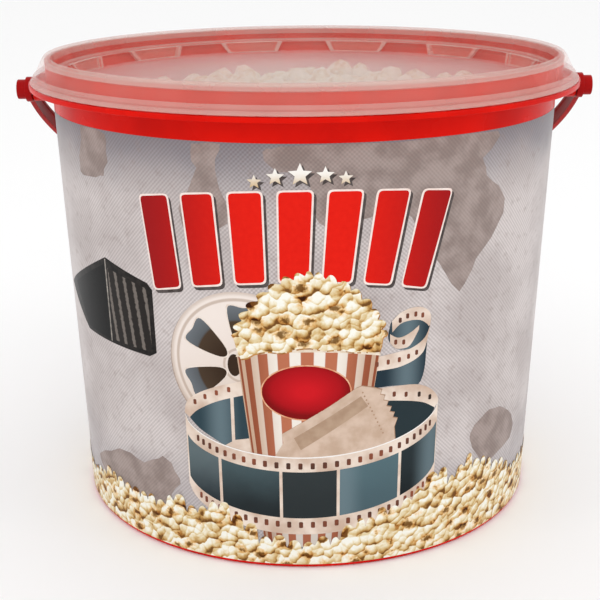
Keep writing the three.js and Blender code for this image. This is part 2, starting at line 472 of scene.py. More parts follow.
def kernel(rng, centre, size):
    """One popped kernel: a small sphere pushed out into a few lobes."""
    bm = bmesh.new()
    bmesh.ops.create_icosphere(bm, subdivisions=2, radius=1.0)
    lobes = [Vector([rng.gauss(0, 1) for _ in range(3)]).normalized() for _ in range(5)]
    for vert in bm.verts:
        way = vert.co.normalized()
        swell = max(way.dot(lobe) for lobe in lobes)
        vert.co = way * (0.62 + 0.38 * max(0.0, swell) ** 3) * size
    turn = Matrix.Rotation(rng.uniform(0, TURN), 3, "Z")
    for vert in bm.verts:
        vert.co = turn @ vert.co + centre
    return bm


def make_kernels():
    rng = random.Random(11)
    bm = bmesh.new()
    placed = []
    for _ in range(KERNEL_TRIES):
        radius = KERNEL_REACH * math.sqrt(rng.random())
        angle = rng.uniform(0, TURN)
        height = rng.uniform(*KERNEL_LEVELS)
        at = Vector((radius * math.cos(angle), radius * math.sin(angle), height))
        if all((at - other).length > KERNEL_SPACING for other in placed):
            placed.append(at)
        if len(placed) == KERNEL_COUNT:
            break
    for at in placed:
        take_in(bm, kernel(rng, at * MM, rng.uniform(*KERNEL_SIZES) * MM))
    print("kernels", len(placed))
    return finished(bm, "popcorn_kernels", [popped_corn], "pail", sharp=80)


kernels = make_kernels()
core = make_core()
for piece in (kernels, core):
    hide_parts("popcorn")

# %% [markdown]
# ## The lid
# The lid is thin milky polypropylene. Seen once it is nearly clear; seen twice, along a rib or
# through a bead, it turns white. Alpha does this by itself: each surface hides a share of what
# lies behind, so stacked surfaces build up. Beads, lip and the edges of the stacking lugs are
# thicker in the mould, and take a second, denser finish. The flat panel has a third.

# %% Milky plastic


def milky(name, alpha, tint, cloud_tint, clearer=0.0):
    """Milky plastic of this alpha; a panel is clearer towards its rim and rosier there, which is
    painted red light from the pail's rim.
    """
    shader = Shader(name, Specular_IOR_Level=0.22)
    place = shader.place()
    x, y, _ = shader.parts(place)
    radius = shader.length(x, y)
    cloud = shader.noise(place, 30.0, 2.0)
    ripple = shader.noise(place, 160.0, 2.0)
    shader.bump(ripple, 0.0002, 0.25)
    haze = cloud * 0.10 + (alpha - 0.05)
    colour = shader.mix(cloud, tint, cloud_tint)
    if clearer:
        outer = shader.step(radius + cloud * 0.02, 0.015, 0.095)
        haze = haze - outer * clearer
        # Painted light: the rosy tone near the panel's rim stands in for red light from the pail's
        # rim seen through it.
        colour = shader.mix(outer, colour, tone(251, 207, 200))
    return shader.wear(Base_Color=colour, Alpha=haze, Roughness=cloud * 0.1 + 0.2)


# The rosy tints of the thin and thick finishes are painted light: red from the pail reaching the
# milky plastic.
lid_thin = milky("lid_thin", 0.13, tone(255, 176, 158), tone(255, 206, 192))
lid_thick = milky("lid_thick", 0.38, tone(236, 190, 178), tone(244, 216, 206))
lid_panel = milky("lid_panel", 0.43, tone(238, 222, 212), tone(246, 232, 224), clearer=0.05)

# %% [markdown]
# The lid's profile runs from the centre of the panel, up the recess wall, over the lip and down
# the grooved skirt, then back underneath. The twelve lugs on the ledge are small bars with
# slanted ends, cut into columns and bent to the curve of the recess.

# %% Lid
PANEL_TOP, LEDGE_TOP, LIP_FOOT = 177.1, 181.7, 185.6
PANEL_RADIUS, BEAD_RADIUS = 98.0, 110.6
LID_PROFILE = [
    (0, 175.9), (99.6, 175.9), (101.4, 180.4), (103.9, 180.8), (105.1, 187.3), (106.9, 187.3),
    (106.9, 185), (109.2, 180.9), (110.9, 179.1), (111.8, 178.2), (113, 178.2), (113, 178.7),
    (111.4, 179.6), (111.9, 180.5), (110.1, 181.9), (110.2, 182.7), (108.2, 186.4),
    (106.9, 188.4), (105.6, 188.6), (104.2, 188.2), (103.63, 185.1), (103.1, 182.3),
    (102.5, LEDGE_TOP), (100.4, LEDGE_TOP), (98.6, PANEL_TOP), (0, PANEL_TOP)]
LUG_COUNT = 12


def make_lug(angle):
    """A bar across the recess wall: wider and further out at its top than at its foot."""
    bm = bmesh.new()
    bmesh.ops.create_cube(bm, size=1.0)
    bmesh.ops.bevel(bm, geom=bm.edges[:], offset=0.07, segments=2, profile=0.5,
                    affect="EDGES", material=1)
    slice_up(bm, [k / 10 for k in range(-4, 5)], 1e-6)
    for vert in bm.verts:
        rise = vert.co.z + 0.5
        width = math.radians(14.5 + 3.5 * rise)
        inner, outer = 97.0 + 2.7 * rise, 99.4 + 2.1 * rise
        radius = outer + (inner - outer) * (vert.co.y + 0.5)
        turn = angle + vert.co.x * width
        height = (PANEL_TOP - 0.4) + (LEDGE_TOP - PANEL_TOP + 0.35) * rise
        vert.co = Vector((radius * math.cos(turn), radius * math.sin(turn), height)) * MM
    bmesh.ops.recalc_face_normals(bm, faces=bm.faces[:])
    return bm


def make_lid():
    bm = spun(eased(LID_PROFILE, 0.45))
    for face in bm.faces:
        middle = face.calc_center_median()
        radius, height = middle.xy.length / MM, middle.z / MM
        lip = height > LIP_FOOT or (height > LIP_FOOT - 0.5 and radius < 104.3)
        ledge = 100.2 < radius < 103.2 and height > LEDGE_TOP - 0.5
        thick = lip or ledge or radius > BEAD_RADIUS
        face.material_index = 2 if radius < PANEL_RADIUS else int(thick)
    for k in range(LUG_COUNT):
        take_in(bm, make_lug(TURN * (k + 0.5) / LUG_COUNT))
    return finished(bm, "lid_shell", [lid_thin, lid_thick, lid_panel], "pail",
                    sharp=50)


lid = make_lid()
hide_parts("lid")

# %% [markdown]
# ## A flat print wrapped round a tapered wall
# The wall is decorated with shapes that lie on each other like layers of ink. Each is drawn
# flat, in millimetres: `u` runs round the front, 100 to a radian, and `v` is the height. The
# outline is filled, cut into narrow columns so that it can bend, given a hair of thickness so
# that it is a closed body, and wrapped on the wall. Its flat coordinates stay with it in a UV
# map named `flat`, and the inks draw their patterns in those.

# %% Wrapping helpers
PRINT_RADIUS = 100
COLUMN = 2.5
INK_THICKNESS = 0.015
LAYER = 0.026
FIRST_LIFT = 0.04


def flowing(points, per=3, closed=True):
    """A smooth line through the points, with this many steps between each two."""
    count = len(points)
    made = []
    for i in range(count if closed else count - 1):
        if closed:
            ids = [(i + k - 1) % count for k in range(4)]
        else:
            ids = [min(max(i + k - 1, 0), count - 1) for k in range(4)]
        a, b, c, d = (Vector(points[j]) for j in ids)
        for k in range(per):
            t = k / per
            made.append(tuple(0.5 * (2 * b + (c - a) * t + (2 * a - 5 * b + 4 * c - d) * t * t
                                     + (3 * b - a - 3 * c + d) * t ** 3)))
    if not closed:
        made.append(tuple(points[-1]))
    return made


def ragged(points, reach, seed):
    """The outline with each point nudged by up to this much, always the same way."""
    rng = random.Random(seed)
    return [(u + rng.uniform(-reach, reach), v + rng.uniform(-reach, reach))
            for u, v in points]


def circle(u, v, radius, tall=None, count=48):
    tall = tall or radius
    return [(u + radius * math.cos(TURN * k / count), v + tall * math.sin(TURN * k / count))
            for k in range(count)]


def height_on(line, u):
    """The height of a line of points at u."""
    for (a, low), (b, high) in zip(line, line[1:]):
        if a <= u <= b:
            return low + (high - low) * (u - a) / (b - a)
    return line[0][1] if u < line[0][0] else line[-1][1]


def tile(left, bottom, right, top, cut=0.3):
    """A rectangle with clipped corners."""
    return [(left + cut, bottom), (right - cut, bottom), (right, bottom + cut),
            (right, top - cut), (right - cut, top), (left + cut, top), (left, top - cut),
            (left, bottom + cut)]


class Wrap:
    """A printed piece built up from flat outlines."""

    def __init__(self, name, *inks):
        self.name, self.inks = name, inks
        self.bm = bmesh.new()
        self.bm.loops.layers.uv.new("flat")

    def lay(self, outline, ink=0, layer=1):
        bm = bmesh.new()
        verts = []
        for u, v in outline:
            if not verts or (verts[-1].co.xz - Vector((u, v))).length > 0.02:
                verts.append(bm.verts.new((u, 0, v)))
        bm.faces.new(verts)
        first = math.ceil(min(u for u, v in outline) / COLUMN + 0.01)
        last = math.floor(max(u for u, v in outline) / COLUMN - 0.01)
        slice_up(bm, [k * COLUMN for k in range(first, last + 1)], 1e-4)
        bmesh.ops.triangulate(bm, faces=bm.faces[:], quad_method="BEAUTY",
                              ngon_method="BEAUTY")
        back = bmesh.ops.extrude_face_region(bm, geom=bm.faces[:], use_keep_orig=True)["geom"]
        bmesh.ops.translate(bm, vec=(0, INK_THICKNESS, 0),
                            verts=[g for g in back if isinstance(g, bmesh.types.BMVert)])
        bmesh.ops.recalc_face_normals(bm, faces=bm.faces[:])
        flat = bm.loops.layers.uv.new("flat")
        for face in bm.faces:
            face.material_index = ink
            for loop in face.loops:
                loop[flat].uv = loop.vert.co.xz
        lift = FIRST_LIFT + LAYER * layer
        for vert in bm.verts:
            u, depth, v = vert.co
            radius, turn = wall(v) + lift - depth, u / PRINT_RADIUS
            vert.co = Vector((radius * math.sin(turn), -radius * math.cos(turn), v)) * MM
        take_in(self.bm, bm)
        return self

    def done(self):
        return finished(self.bm, self.name, self.inks, "pail")


def ink(name, roughness=0.34):
    """A new ink's shader, the flat print coordinates as a vector, and their two numbers."""
    shader = Shader(name, roughness, IOR=1.22, Specular_IOR_Level=0.3)
    where = shader.node("ShaderNodeUVMap", {"uv_map": "flat"})
    return shader, where, *shader.parts(where)[:2]


# %% [markdown]
# ## Inks
# A printed label is smooth under varnish, so its roughness is low and even, and all the variety
# is in the colour. The ground is a pale warm grey, screened with fine slanting lines that lean
# one way on the left, the other way on the right, and cross in the middle.
# Towards the top the ground greys into a painted shadow under the flange.

# %% The ground ink and the plain inks
LABEL_TOP, LABEL_FOOT = 167.5, 1.4
HATCH_PITCH = 1.15


def hatching(shader, u, v):
    """Fine crossed lines, 0 to 1: rising on the left, falling on the right."""
    turns = TURN / HATCH_PITCH / math.sqrt(2)
    rising = shader.math("SINE", (u - v) * turns) * 0.5 + 0.5
    falling = shader.math("SINE", (u + v) * turns) * 0.5 + 0.5
    return (rising * shader.step(u, -10.0, 60.0, 1.0, 0.25)
            + falling * shader.step(u, -60.0, 10.0, 0.25, 1.0))


def ground():
    shader, where, u, v = ink("label_ground", 0.36)
    lines = hatching(shader, u, v)
    mottle = shader.noise(where, 0.035, 4.0)
    grain = shader.noise(where, 0.25, 3.0)
    paper = shader.mix(shader.step(mottle, 0.35, 0.65), tone(204, 194, 192), tone(226, 217, 215))
    # Painted shadow: the ground turns blue-grey towards the top of the label, where the flange
    # overhangs it.
    painted_flange_shadow = shader.step(v + mottle * 30.0 - 15.0, 140.0, 168.0, 0.0, 0.85)
    paper = shader.mix(painted_flange_shadow, paper, tone(128, 126, 134))
    foot = shader.step(v + mottle * 16.0, 62.0, 20.0, 0.0, 0.45)
    paper = shader.mix(foot, paper, tone(158, 156, 164))
    speck = shader.step(grain, 0.52, 0.78, 0.0, 0.4)
    paper = shader.mix(speck, paper, tone(160, 144, 138))
    return shader.wear(Base_Color=shader.mix(lines * 0.26, paper, tone(96, 82, 80)))


def taupe_field():
    """One flat tone with the same screen lines over it."""
    shader, where, u, v = ink("taupe_field", 0.36)
    mottle = shader.noise(where, 0.12, 4.0)
    paper = shader.mix(shader.step(mottle, 0.35, 0.65), tone(152, 136, 130), tone(176, 160, 154))
    return shader.wear(Base_Color=shader.mix(hatching(shader, u, v) * 0.18, paper,
                                             tone(96, 84, 82)))


def plain_ink(name, low, high, across=0.4):
    """A printed tone that drifts a little between two values."""
    shader, where, _, _ = ink(name)
    drift = shader.noise(where, across, 3.0)
    return shader.wear(Base_Color=shader.mix(shader.step(drift, 0.3, 0.7), low, high))


label_ground = ground()
taupe = taupe_field()

# %% [markdown]
# ## The label
# The label covers the wall between the foot and the bare red collar. It is two half wraps that
# meet at the sides, under the ear bosses, where a real label has its seam.

# %% Label
HALF_ROUND = PRINT_RADIUS * math.pi / 2


def make_label():
    edge = [-HALF_ROUND, HALF_ROUND, 3 * HALF_ROUND]
    for name, left, right in zip(("label_front", "label_back"), edge, edge[1:]):
        Wrap(name, label_ground).lay([(left, LABEL_FOOT), (right, LABEL_FOOT), (right, LABEL_TOP),
                                      (left, LABEL_TOP)], layer=0).done()


make_label()

# %% [markdown]
# Broad taupe fields lie on the ground tone like worn paper. They are plain blotches with round
# corners, and four of them are laid again round the back.

# %% Fields
FIELDS = [
    [(-118, 167), (-95, 167), (-99, 149), (-87, 149), (-80, 152), (-78, 164), (-86, 167.2)],
    [(-39.6, 165.9), (-28.6, 166.5), (-31.1, 157.5), (-28, 146.9), (-29.2, 135.9),
     (-44.5, 136.4), (-43.9, 145.7), (-38.2, 157.1)],
    [(-13.2, 165.3), (-1.5, 166.4), (30, 167), (74, 167), (68, 157), (73.1, 148.5),
     (81.8, 139.4), (74.4, 125.3), (67, 120), (60.2, 108.4), (46, 126), (33.2, 142.4),
     (11.9, 136.5), (1.7, 142.2), (1.7, 151.2), (-1.6, 155.5), (-11.6, 160)],
    [(-111, 24), (-96, 31), (-84, 36), (-72, 35), (-60, 40), (-53, 33), (-57, 24),
     (-66, 14), (-80, 13), (-96, 15)],
    [(70, 44), (77, 51), (86, 53), (98, 48), (105, 36), (91, 32), (81, 30)],
]
BACK_FIELDS = ((2, -20), (0, 40), (4, 60), (3, -30))  # which field, and how far it is shifted


def make_fields():
    front = [ragged(flowing(outline), 0.9, 6) for outline in FIELDS]
    back = [[(u + 2 * HALF_ROUND + shift, v) for u, v in flowing(FIELDS[k])]
            for k, shift in BACK_FIELDS]
    for side, outlines in (("front", front), ("back", back)):
        piece = Wrap("taupe_fields_" + side, taupe)
        for outline in outlines:
            piece.lay([(u, min(v, LABEL_TOP - 0.2)) for u, v in outline])
        piece.done()


make_fields()

# %% [markdown]
# ## Printed popcorn
# Popcorn drawn in ink needs the light painted in. A Voronoi pattern splits the field into round
# cells, each of them one lobe. The distance from a cell's own centre, measured along the way
# the light falls, says whether a spot is on the lit or the shaded side. The centres of some
# cells of another, wider pattern are the dark hollows, with gold round them.

# %% Printed popcorn ink


def popcorn_ink():
    shader, where, _, _ = ink("popcorn_ink", 0.4)

    def vector(operation, *values, output=0):
        return shader.node("ShaderNodeVectorMath", {"operation": operation}, enumerate(values),
                           output)

    def lobes(scale, light):
        """How lit a spot is on its own lobe, and how far it is from the lobe's centre."""
        cells = shader.node("ShaderNodeTexVoronoi", {
            "voronoi_dimensions": "2D", "feature": "SMOOTH_F1"},
            {"Vector": bent, "Scale": scale, "Smoothness": 0.22, "Randomness": 1.0})
        centre = Socket(shader, cells.output.node.outputs[2])
        return vector("DOT_PRODUCT", vector("SUBTRACT", bent, centre), light, output=1), cells

    bent = vector("MULTIPLY_ADD", shader.noise(where, 0.22, 2.0, output=1), (4.0, 4.0, 0.0), where)
    small, small_away = lobes(0.27, (-0.07, 0.15, 0.0))
    large, large_away = lobes(0.12, (-0.02, 0.05, 0.0))
    crumb = shader.noise(where, 0.9, 2.0)
    shade = small + large + 0.73 - small_away * 0.36 - large_away * 0.2 + crumb * 0.3
    colour = shader.ramp(shade, (0.14, tone(118, 78, 36)), (0.33, tone(188, 142, 78)),
                         (0.50, tone(220, 188, 132)), (0.65, tone(234, 214, 170)),
                         (0.82, tone(248, 238, 212)), (0.97, tone(255, 254, 244)))
    pits = shader.node("ShaderNodeTexVoronoi", {"voronoi_dimensions": "2D"},
                       {"Vector": vector("MULTIPLY", bent, (0.86, 1.25, 1.0)), "Scale": 0.118,
                        "Randomness": 1.0})
    chance = shader.parts(Socket(shader, pits.output.node.outputs[1]))[0]
    depth = pits + shader.step(chance, 0.35, 0.75, 0.0, 0.18) + crumb * 0.3 - 0.12
    gold = shader.step(depth, 0.18, 0.46, 0.85, 0.0)
    colour = shader.mix(gold, colour, (1.0, 0.66, 0.30, 1.0), "MULTIPLY")
    pit = shader.step(depth, 0.13, 0.29, 0.95, 0.0)
    return shader.wear(Base_Color=shader.mix(pit, colour, (0.20, 0.14, 0.07, 1.0), "MULTIPLY"))


printed_corn = popcorn_ink()

# %% [markdown]
# Along the foot the print shows a drift of popcorn. How high it lies is given at a few places
# round the wall, and its edge is a seeded run of rounded kernel tops that follows those heights.

# %% Drift of popcorn along the foot
DRIFT_LAYER = 9.4
DRIFT_FRONT = [(-HALF_ROUND, 17), (-115, 15), (-96, 23.5), (-84, 19), (-66, 19), (-55, 25.5),
               (-46, 20.5), (-35, 25.5), (-26, 17.5), (-14, 12), (-3, 10.5), (14, 14), (22, 19),
               (32, 23), (46, 29), (54, 34), (62, 31), (70, 37.5), (84, 29), (94, 27), (106, 18.5),
               (120, 19.5), (HALF_ROUND, 18)]
DRIFT_BACK = [(HALF_ROUND, 18), (190, 26), (225, 20), (262, 27), (300, 16), (340, 24),
              (380, 28), (420, 17), (3 * HALF_ROUND, 17)]


def humps(levels, seed):
    """A line of rounded kernel tops that follows the levels."""
    rng = random.Random(seed)
    u, end = levels[0][0], levels[-1][0]
    made = []
    while u < end - 8.0:
        width = rng.uniform(3.6, 6.2)
        v = height_on(levels, u + width / 2) + rng.uniform(-1.6, 1.6)
        made += [(u, v - 2.2), (u + width * 0.2, v + 0.4), (u + width * 0.55, v + 1.3),
                 (u + width * 0.88, v - 0.2)]
        u += width
    return made + [levels[-1]]


def make_drift():
    base = LABEL_FOOT + 0.2
    for name, levels, seed in (("popcorn_drift_front", DRIFT_FRONT, 3),
                               ("popcorn_drift_back", DRIFT_BACK, 5)):
        top = flowing(humps(levels, seed), closed=False)
        Wrap(name, printed_corn).lay([(levels[0][0], base)] + top + [(levels[-1][0], base)],
                                     layer=DRIFT_LAYER).done()


make_drift()

# %% [markdown]
# ## Stars and the arched row
# Five stars stand over an arched row of tall plain tiles, bright red in the middle and darker
# at its ends. Star and tile throw a small dark shadow down to the right, which is the same
# outline laid first and shifted. A tile has a pale edge too, its outline grown a little.

# %% Stars and arched tiles
STARS = [(-17.2, 153.9, 2.6), (-10, 155.8, 3.2), (-1.6, 156.6, 4.2), (6.9, 156.4, 3.2),
         (13.8, 155.2, 2.6)]
STAR_WAIST = 0.45
shadow_ink = plain_ink("shadow_ink", tone(70, 62, 60), tone(96, 88, 86))
edge_ink = plain_ink("edge_ink", tone(248, 226, 217), tone(254, 240, 233))


def star_face():
    """Nearly white at the stars' upper points, falling to a pale tan at their feet."""
    shader, where, _, v = ink("star_face")
    fall = shader.step(v + shader.noise(where, 0.6, 2.0) * 1.5, 152.0, 159.0)
    return shader.wear(Base_Color=shader.mix(fall, tone(214, 184, 138), tone(254, 252, 246)))


def row_red():
    shader, where, u, _ = ink("row_red", 0.32)
    ends = shader.step(abs(u + 2.0), 14.0, 62.0)
    grain = shader.noise(where, 0.5, 2.0)
    middle = shader.mix(grain, tone(226, 22, 10), tone(240, 34, 18))
    return shader.wear(Base_Color=shader.mix(ends, middle, tone(158, 18, 22)))


def star(u, v, radius):
    made = []
    for k in range(10):
        away, turn = radius * (1.0 if k % 2 else STAR_WAIST), math.pi * (k + 1) / 5
        made.append((u + away * math.sin(turn), v + away * math.cos(turn)))
    return made


def between(points, t):
    """A quadratic line through three points, at t from 0 to 1."""
    a, b, c = (Vector(p) for p in points)
    return a * (1 - t) * (1 - 2 * t) + b * 4 * t * (1 - t) + c * t * (2 * t - 1)


ROW_TOP = [(-65.2, 144.7), (-3.3, 150.5), (56.4, 147.2)]
ROW_FOOT = [(-61, 109.5), (-4, 117.5), (46.4, 111.5)]
TILE_COUNT, TILE_SHARE, TILE_CORNER = 7, 0.66, 1.6


def row_tile(index, grow=0.0, shift=(0.0, 0.0)):
    """Outline of one tile, grown and shifted, with its corners rounded."""
    start = (index + (1 - TILE_SHARE) / 2) / TILE_COUNT
    end = start + TILE_SHARE / TILE_COUNT
    corners = [between(ROW_FOOT, start), between(ROW_FOOT, end),
               between(ROW_TOP, end), between(ROW_TOP, start)]
    centre = sum(corners, Vector((0, 0))) / 4
    grown = [corner + Vector(shift) + Vector([math.copysign(grow, c) for c in corner - centre])
             for corner in corners]
    cut = TILE_CORNER + grow * 0.6
    made = []
    for i, corner in enumerate(grown):
        back = (grown[i - 1] - corner).normalized() * cut
        on = (grown[(i + 1) % 4] - corner).normalized() * cut
        made += arc(corner + back, corner, corner + on)
    return made


def make_stars_and_row():
    piece = Wrap("stars", shadow_ink, star_face())
    for u, v, radius in STARS:
        piece.lay(star(u + 0.9, v - 0.9, radius * 1.05), 0, 2)
        piece.lay(star(u, v, radius), 1, 3)
    piece.done()
    piece = Wrap("arched_row", shadow_ink, edge_ink, row_red())
    for index in range(TILE_COUNT):
        piece.lay(row_tile(index, 0.7, (0.9, -1.1)), 0, 2)
        piece.lay(row_tile(index, 0.7), 1, 3)
        piece.lay(row_tile(index), 2, 4)
    piece.done()


make_stars_and_row()

# %% [markdown]
# ## The reel, the box and the film
# The middle of the print is a cinema still life. A film reel stands at the left, a carton of
# popcorn in front of it, and a strip of film loops round the carton: its far side behind, its
# near side across the front. They are laid from the back forwards.

# %% Reel
REEL = (-24.0, 84.3, 28.6)  # its middle and its radius
REEL_WINDOWS = (87, 146, 205)


def reel_window_outline(middle, inner=8.4, outer=22.6, half=14.5):
    """Five points of a window in the reel's face, round a middle direction in degrees."""
    corners = [(outer, -half), (outer, 0), (outer, half), (inner, half), (inner, -half)]
    return [(REEL[0] + away * math.cos(math.radians(middle + turn)),
             REEL[1] + away * math.sin(math.radians(middle + turn))) for away, turn in corners]


def reel_paint():
    shader, _, u, v = ink("reel_paint")
    across, up = u - REEL[0], v - REEL[1]
    away = shader.length(across, up)
    face = shader.mix(shader.step(up - across * 0.5, -26.0, 26.0), tone(222, 204, 190),
                      tone(246, 234, 226))
    groove = shader.step(abs(away - 25.6), 0.25, 0.9, 0.6, 0.0)
    hub = shader.step(abs(away - 6.5), 0.2, 0.7, 0.55, 0.0)
    rim = shader.step(away, 26.6, 28.4, 0.0, 0.45)
    return shader.wear(Base_Color=shader.mix(groove + hub + rim, face, tone(178, 152, 132)))


def reel_window():
    shader, _, u, v = ink("reel_window")
    across, up = u - REEL[0], v - REEL[1]
    away = shader.length(across, up)
    return shader.wear(Base_Color=shader.ramp(
        away / REEL[2], (0.28, tone(58, 42, 30)), (0.60, tone(76, 60, 46)),
        (0.63, tone(92, 96, 100)), (0.85, tone(116, 122, 128))))


def make_reel():
    line = plain_ink("reel_line", tone(168, 150, 138), tone(190, 170, 156))
    lip = plain_ink("reel_lip", tone(232, 214, 200), tone(246, 234, 224))
    piece = Wrap("film_reel", line, reel_paint(), reel_window(), lip)
    piece.lay(circle(REEL[0] - 0.3, REEL[1] - 0.4, REEL[2] + 0.1, count=72), 0, 1.5)
    piece.lay(circle(*REEL, count=72), 1, 2.2)
    for middle in REEL_WINDOWS:
        piece.lay(flowing(reel_window_outline(middle, 7.9, 23.1, 15.8), 6), 3, 2.9)
        piece.lay(flowing(reel_window_outline(middle), 6), 2, 3.5)
    piece.lay(circle(-26.6, 84.2, 2.6, 4.4, count=20), 2, 3.5)
    return piece.done()


make_reel()

# %% [markdown]
# The box at the left edge is an old projector case: a near-black side, a ribbed front panel and
# a light line where the two meet.

# %% Projector case


def case_paint():
    shader, where, u, v = ink("case_paint", 0.36)
    wear = shader.noise(where, 0.7, 4.0)
    rib = shader.math("SINE", (u + v * 0.12) * (TURN / 5.2)) * 0.5 + 0.5
    panel = shader.mix(shader.step(rib * 0.6 + wear * 0.5, 0.62, 0.8), tone(40, 36, 34),
                       tone(118, 110, 104))
    side = shader.mix(wear, tone(6, 6, 7), tone(26, 25, 25))
    return shader.wear(Base_Color=shader.mix(shader.step(u, -86.2, -85.6), side, panel))


def make_case():
    line = plain_ink("case_line", tone(126, 120, 114), tone(176, 168, 160))
    body = plain_ink("case_body", tone(26, 24, 24), tone(46, 42, 40))
    piece = Wrap("projector_case", body, case_paint(), line)
    piece.lay([(-85.5, 117.4), (-119.9, 101.4), (-128, 97), (-106, 82.6), (-63.4, 82),
               (-59.8, 84), (-59.8, 109.3), (-62.1, 111.7)], 0, 1.6)
    piece.lay([(-86.4, 114.6), (-118, 99.6), (-105, 84.2), (-86.4, 83.4)], 1, 2.3)
    piece.lay([(-84.4, 113.4), (-84.4, 84), (-64, 84), (-62, 86), (-62, 108), (-63.6, 109.6)],
              1, 2.3)
    piece.lay([(-86.2, 116.6), (-86.2, 83), (-85.4, 83), (-85.4, 116.8)], 2, 3)
    return piece.done()


make_case()

# %% [markdown]
# The film is drawn as bands: pale edges with a row of perforations, and blue-grey frames
# between them. A band is an upper line joined to a lower line run backwards.

# %% Film inks and the far side of the loop


def band(upper, lower):
    return flowing(upper, 3, closed=False) + flowing(lower, 3, closed=False)[::-1]


def film_tone(name, low, high, glint_at=None):
    """Blue-grey film that shades down its height, with a soft glint across it."""
    shader, where, u, v = ink(name, 0.3)
    fall = shader.step(v + shader.noise(where, 0.08, 2.0) * 8.0, 28.0, 52.0)
    tint = shader.mix(fall, low, high)
    if glint_at is not None:
        glint = shader.step(abs(u - glint_at), 0.0, 9.0, 0.7, 0.0)
        tint = shader.mix(glint, tint, tone(116, 136, 144))
    return shader.wear(Base_Color=tint)


film_edge = plain_ink("film_edge", tone(208, 180, 160), tone(246, 230, 216), 0.09)
film_bright = plain_ink("film_bright", tone(250, 244, 238), tone(254, 252, 250))
film_far = film_tone("film_far", tone(34, 48, 56), tone(50, 70, 79), glint_at=-33.0)
film_curled = film_tone("film_curled", tone(26, 38, 46), tone(38, 54, 64), glint_at=38.0)
film_deep = film_tone("film_deep", tone(24, 32, 37), tone(42, 55, 60))
hole_ink = plain_ink("hole_ink", tone(62, 50, 44), tone(150, 84, 62), 0.05)


def holes(piece, places, ink, layer, width=1.5, tall=2.6):
    for u, v in places:
        piece.lay(tile(u - width / 2, v - tall / 2, u + width / 2, v + tall / 2), ink, layer)


FAR_SIDES = (  # the ink of the frame, then the band's top, the band's foot, the frame's foot, holes
    (1, [(-48.2, 62), (-47.6, 65.4), (-45.6, 68.3), (-41.1, 71.5), (-34.7, 74.5), (-28.6, 76.6),
         (-22, 78.6)],
     [(-46.1, 60.3), (-43.3, 63.3), (-39.3, 66), (-35, 68.3), (-29.7, 70.4), (-22, 72.8)],
     [(-46.1, 60.3), (-42, 56.4), (-35.8, 53), (-30.5, 50.5), (-20, 48)],
     [(-43.4, 67.2), (-39, 70), (-34.2, 72.2), (-29.2, 74.1)]),
    (2, [(18, 74.8), (26.8, 74.4), (33.6, 74.5), (41.9, 74), (47.7, 71.7), (51.5, 68.1),
         (52.6, 64.9), (50.9, 62.8)],
     [(18, 69), (29.3, 69), (35.8, 68.3), (42.2, 67), (46.6, 65.5), (50.9, 62.8)],
     [(18, 48.5), (30.2, 51.5), (42.7, 54.6), (47.1, 57), (50.9, 62)],
     [(33.3, 71.3), (38.2, 70.5), (43.8, 69.6), (48.6, 67.6)]))


def make_film_far():
    piece = Wrap("film_far_side", film_edge, film_far, film_deep, hole_ink)
    for frame_ink, top, low, foot, places in FAR_SIDES:
        piece.lay(band(top, low), 0, 4)
        piece.lay(band(low, foot), frame_ink, 4)
        holes(piece, places, 3, 4.8, 1.3, 2.1)
    piece.lay([(-28.7, 50), (-27.4, 50), (-27.4, 71.2), (-28.7, 70.8)], 0, 4.8)
    piece.lay([(-32.9, 50), (-27.5, 53.6), (-20, 55.2), (-20, 48), (-30.5, 49)], 0, 4.8)
    return piece.done()


make_film_far()

# %% [markdown]
# Above the loop the end of the strip curls up beside the carton, with a second turn inside it.

# %% Curled end of the film


def make_curl():
    piece = Wrap("film_curl", film_edge, film_curled, hole_ink)
    rise = [(39.2, 88.8), (43.2, 90.7), (45.7, 93.1), (47.2, 96.9)]
    outer = [(20, 86.6), (26.1, 87.1), (31.2, 87.7), (35.1, 88.2)] + rise
    band_low = [(20, 81), (25.9, 81.5), (31.3, 81.7), (35.3, 82.1), (40.2, 83.6),
                (43.5, 85.5), (45.5, 88.4), (47.2, 96.9)]
    frame_low = [(20, 74.7), (25.7, 74.7), (31.6, 74.8), (37.6, 74.4), (43.2, 73.8),
                 (45.5, 79.1), (46, 86.3), (46.2, 90)]
    crest = [(47.4, 100.8), (45.6, 103.4), (42.6, 104.8), (38.5, 104.8), (34.6, 103.4),
             (31.5, 100.6)]
    crest_low = [(31.8, 96.2), (34.8, 99.1), (38.7, 100), (42.8, 99.6), (45.4, 98), (46.2, 97.2),
                 (46.6, 96.6)]
    second = [(30.9, 95.6), (33.7, 93.9), (36.5, 94.1), (39.7, 95.6), (42.5, 97.6)]
    second_low = [(31, 92.1), (33.1, 89.8), (35.9, 89.3), (39.1, 90.2), (42.5, 96)]
    piece.lay(band(band_low[:-1] + [(46.2, 90.6)], frame_low), 1, 3)
    piece.lay(flowing(crest + [(30.7, 98), (30.2, 94.8), (31, 92.1), (33.9, 89.3)] + rise), 1, 3.6)
    piece.lay(band(crest[::-1] + rise[-1:], crest_low), 0, 4.3)
    piece.lay(band(outer, band_low), 0, 4.3)
    piece.lay(band(second, second_low), 0, 4.9)
    holes(piece, [(26.2, 84.1), (30.5, 84.6), (34.9, 85), (38.6, 85.8), (41.9, 86.9),
                  (34.7, 100.6), (37.6, 101.9), (40.9, 102.2), (43.8, 101.4), (33.2, 92.2),
                  (36.4, 91.8)], 2, 5.5, 1.2, 2.0)
    return piece.done()


make_curl()

# %% [markdown]
# ## The carton
# The drawn carton is a striped cup. Its stripes are equally wide on a round cup, so on the flat
# drawing they crowd together towards the edges: an arc sine turns the distance across into the
# angle round the cup, and the stripes are even in that.

# %% Carton


